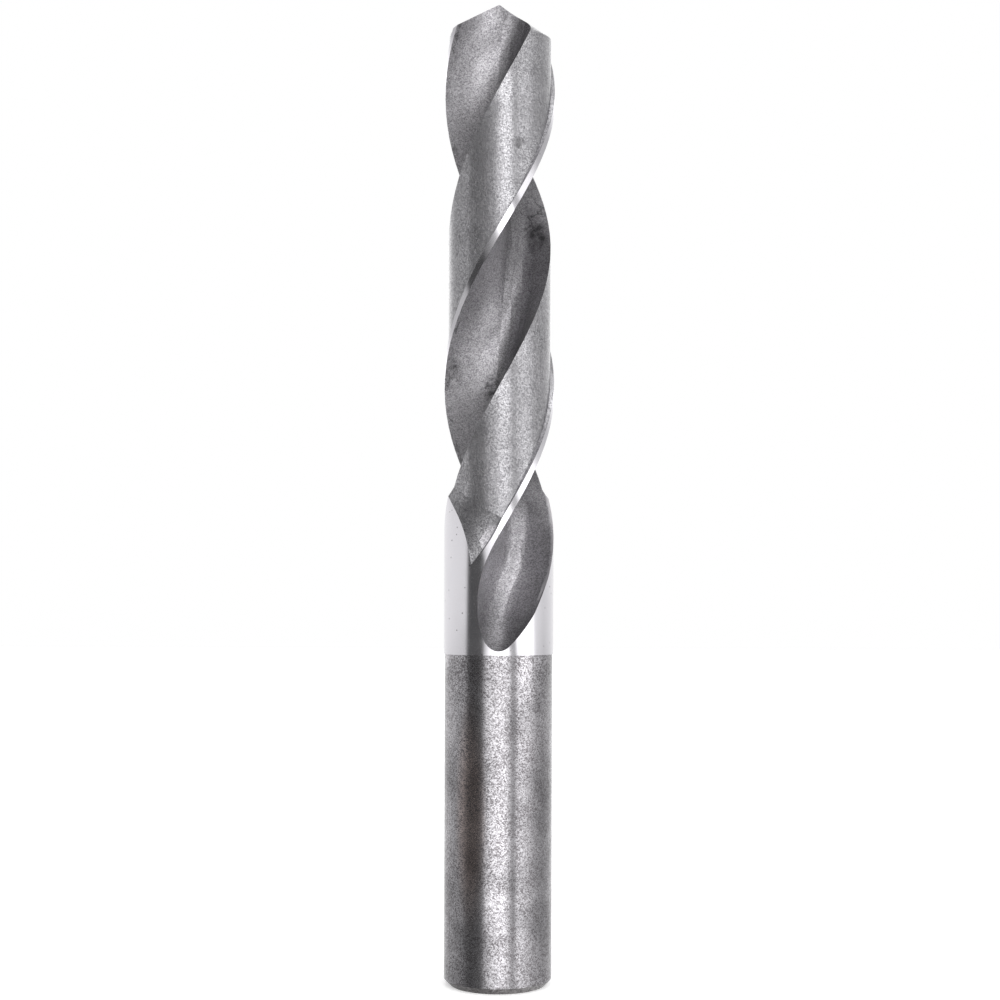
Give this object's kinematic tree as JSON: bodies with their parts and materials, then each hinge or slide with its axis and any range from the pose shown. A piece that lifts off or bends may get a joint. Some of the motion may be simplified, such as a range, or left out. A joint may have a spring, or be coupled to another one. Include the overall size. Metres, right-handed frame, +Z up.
{
  "type": "twist drill bit",
  "caption": "Straight-shank twist drill with helical flutes, narrow margins, relieved lands, flute run-outs into a plain ground band, and a cone-ground point; it stands on its shank end, point up",
  "frame": {"origin": "centre of the flat end face of the shank, on the drill's axis", "axes": "+Z runs up the axis from the shank end to the point; -Y is the side that faces the viewer of the picture; +X is to that viewer's right"},
  "size_m": [0.02, 0.02, 0.1786],
  "materials": {
    "tool_steel": "high speed steel: bright ground margins and band, dull grey flutes and lands, stained and oxide-mottled shank"
  },
  "bodies": {
    "root": {"drill_bit": "tool_steel"}
  },
  "joints": []
}
